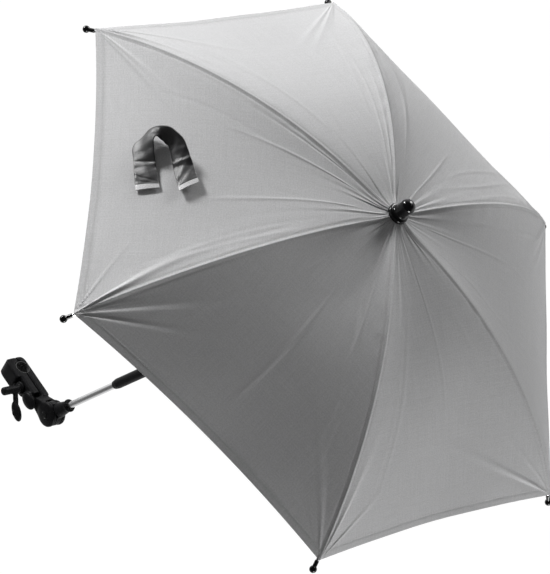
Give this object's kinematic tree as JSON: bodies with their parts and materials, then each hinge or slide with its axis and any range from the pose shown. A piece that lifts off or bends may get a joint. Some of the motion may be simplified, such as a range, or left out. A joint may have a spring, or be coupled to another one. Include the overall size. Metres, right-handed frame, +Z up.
{
  "type": "pram parasol",
  "caption": "Clip-on pram parasol: arched ribs and sewn cloth canopy on a tilting tube pole, with a screw clamp whose knuckle turns on the pram's handle tube.",
  "frame": {"origin": "centre of the clamp's bore, on the pram tube's axis", "axes": "+Z up along the lower pole, +X from the bore towards the pole, +Y along the clamp's screw away from its lever knob"},
  "size_m": [0.6079, 0.7078, 0.7136],
  "materials": {
    "black_plastic": "satin moulded",
    "gloss_black": "glossy moulded",
    "rubber": "matt",
    "chrome": "polished plating",
    "steel": "bright drawn wire",
    "cloth": "plain woven, proofed"
  },
  "bodies": {
    "clamp": {"upper_jaw": "black_plastic", "upper_grip_pad": "rubber", "clamp_stud": "steel", "knuckle_bolt": "gloss_black", "knuckle_nut": "gloss_black"},
    "jaw": {"lower_jaw": "black_plastic", "lower_grip_pad": "rubber"},
    "knob": {"wing_knob": "black_plastic"},
    "lower_pole": {"pole_socket": "black_plastic", "lower_tube": "chrome", "pole_sleeve": "black_plastic", "tilt_fork": "black_plastic", "tilt_pin": "steel"},
    "button": {"tilt_button": "black_plastic"},
    "upper_pole": {"tilt_tongue": "black_plastic", "upper_tube": "chrome", "crown": "black_plastic", "crown_ring": "steel", "crown_washer": "black_plastic", "finial": "gloss_black"},
    "runner": {"runner": "black_plastic"},
    "rib_1": {"rib_1": "steel", "rib_tip_1": "gloss_black", "rib_rivet_1": "steel", "canopy_gore_1": "cloth"},
    "stretcher_1": {"stretcher_1": "steel"},
    "rib_2": {"rib_2": "steel", "rib_tip_2": "gloss_black", "rib_rivet_2": "steel", "canopy_gore_2": "cloth"},
    "stretcher_2": {"stretcher_2": "steel"},
    "rib_3": {"rib_3": "steel", "rib_tip_3": "gloss_black", "rib_rivet_3": "steel", "canopy_gore_3": "cloth"},
    "stretcher_3": {"stretcher_3": "steel"},
    "rib_4": {"rib_4": "steel", "rib_tip_4": "gloss_black", "rib_rivet_4": "steel", "canopy_gore_4": "cloth", "tie_strap": "cloth"},
    "stretcher_4": {"stretcher_4": "steel"},
    "rib_5": {"rib_5": "steel", "rib_tip_5": "gloss_black", "rib_rivet_5": "steel", "canopy_gore_5": "cloth"},
    "stretcher_5": {"stretcher_5": "steel"},
    "rib_6": {"rib_6": "steel", "rib_tip_6": "gloss_black", "rib_rivet_6": "steel", "canopy_gore_6": "cloth"},
    "stretcher_6": {"stretcher_6": "steel"}
  },
  "joints": [
    {"name": "wing_turn", "type": "hinge", "parent": "jaw", "child": "knob", "pos_m": [0.01887, 0, 0.00921], "axis": [0, -1, 0], "range_deg": [0, 2200]},
    {"name": "jaw_open", "type": "slide", "parent": "clamp", "child": "jaw", "axis": [0, -1, 0], "range_m": [0, 0.012]},
    {"name": "knuckle_turn", "type": "hinge", "parent": "clamp", "child": "lower_pole", "pos_m": [0.05985, 0, 0.03698], "axis": [0, 1, 0], "range_deg": [-45, 60]},
    {"name": "tilt", "type": "hinge", "parent": "lower_pole", "child": "upper_pole", "pos_m": [0.05985, 0, 0.38998], "axis": [0, -1, 0], "range_deg": [-8.15, 40]},
    {"name": "button_press", "type": "slide", "parent": "lower_pole", "child": "button", "axis": [0, 1, 0], "range_m": [0, 0.002], "stiffness_N_per_m": 600, "springref_m": -0.002},
    {"name": "runner_slide", "type": "slide", "parent": "upper_pole", "child": "runner", "axis": [0.1418, 0, -0.9899], "range_m": [0, 0.1675], "deforming": ["canopy_gore_1", "canopy_gore_2", "canopy_gore_3", "canopy_gore_4", "canopy_gore_5", "canopy_gore_6", "tie_strap"]},
    {"name": "rib_fold_1", "type": "hinge", "parent": "upper_pole", "child": "rib_1", "pos_m": [0.02744, 0.004, 0.66516], "axis": [-0.495, 0.866, -0.0709], "range_deg": [0, 67.57]},
    {"name": "stretcher_fold_1", "type": "hinge", "parent": "rib_1", "child": "stretcher_1", "pos_m": [0.129, 0.06218, 0.66678], "axis": [-0.495, 0.866, -0.0709], "range_deg": [-116.56, 0]},
    {"name": "rib_fold_2", "type": "hinge", "parent": "upper_pole", "child": "rib_2", "pos_m": [0.02058, 0.008, 0.66418], "axis": [-0.9899, 0, -0.1418], "range_deg": [0, 67.57]},
    {"name": "stretcher_fold_2", "type": "hinge", "parent": "rib_2", "child": "stretcher_2", "pos_m": [0.02239, 0.12436, 0.65151], "axis": [-0.9899, 0, -0.1418], "range_deg": [-116.56, 0]},
    {"name": "rib_fold_3", "type": "hinge", "parent": "upper_pole", "child": "rib_3", "pos_m": [0.01372, 0.004, 0.6632], "axis": [-0.495, -0.866, -0.0709], "range_deg": [0, 67.57]},
    {"name": "stretcher_fold_3", "type": "hinge", "parent": "rib_3", "child": "stretcher_3", "pos_m": [-0.08422, 0.06218, 0.63625], "axis": [-0.495, -0.866, -0.0709], "range_deg": [-116.56, 0]},
    {"name": "rib_fold_4", "type": "hinge", "parent": "upper_pole", "child": "rib_4", "pos_m": [0.01372, -0.004, 0.6632], "axis": [0.495, -0.866, 0.0709], "range_deg": [0, 67.57]},
    {"name": "stretcher_fold_4", "type": "hinge", "parent": "rib_4", "child": "stretcher_4", "pos_m": [-0.08422, -0.06218, 0.63625], "axis": [0.495, -0.866, 0.0709], "range_deg": [-116.56, 0]},
    {"name": "rib_fold_5", "type": "hinge", "parent": "upper_pole", "child": "rib_5", "pos_m": [0.02058, -0.008, 0.66418], "axis": [0.9899, 0, 0.1418], "range_deg": [0, 67.57]},
    {"name": "stretcher_fold_5", "type": "hinge", "parent": "rib_5", "child": "stretcher_5", "pos_m": [0.02239, -0.12436, 0.65151], "axis": [0.9899, 0, 0.1418], "range_deg": [-116.56, 0]},
    {"name": "rib_fold_6", "type": "hinge", "parent": "upper_pole", "child": "rib_6", "pos_m": [0.02744, -0.004, 0.66516], "axis": [0.495, 0.866, 0.0709], "range_deg": [0, 67.57]},
    {"name": "stretcher_fold_6", "type": "hinge", "parent": "rib_6", "child": "stretcher_6", "pos_m": [0.129, -0.06218, 0.66678], "axis": [0.495, 0.866, 0.0709], "range_deg": [-116.56, 0]}
  ],
  "couplings": [
    {"joint": "wing_turn", "follows": "jaw_open", "rad_per_m": 3141.6},
    {"joint": "rib_fold_1", "follows": "runner_slide", "rad_per_m": 7.0386},
    {"joint": "stretcher_fold_1", "follows": "runner_slide", "rad_per_m": -12.143},
    {"joint": "rib_fold_2", "follows": "runner_slide", "rad_per_m": 7.0386},
    {"joint": "stretcher_fold_2", "follows": "runner_slide", "rad_per_m": -12.143},
    {"joint": "rib_fold_3", "follows": "runner_slide", "rad_per_m": 7.0386},
    {"joint": "stretcher_fold_3", "follows": "runner_slide", "rad_per_m": -12.143},
    {"joint": "rib_fold_4", "follows": "runner_slide", "rad_per_m": 7.0386},
    {"joint": "stretcher_fold_4", "follows": "runner_slide", "rad_per_m": -12.143},
    {"joint": "rib_fold_5", "follows": "runner_slide", "rad_per_m": 7.0386},
    {"joint": "stretcher_fold_5", "follows": "runner_slide", "rad_per_m": -12.143},
    {"joint": "rib_fold_6", "follows": "runner_slide", "rad_per_m": 7.0386},
    {"joint": "stretcher_fold_6", "follows": "runner_slide", "rad_per_m": -12.143}
  ]
}
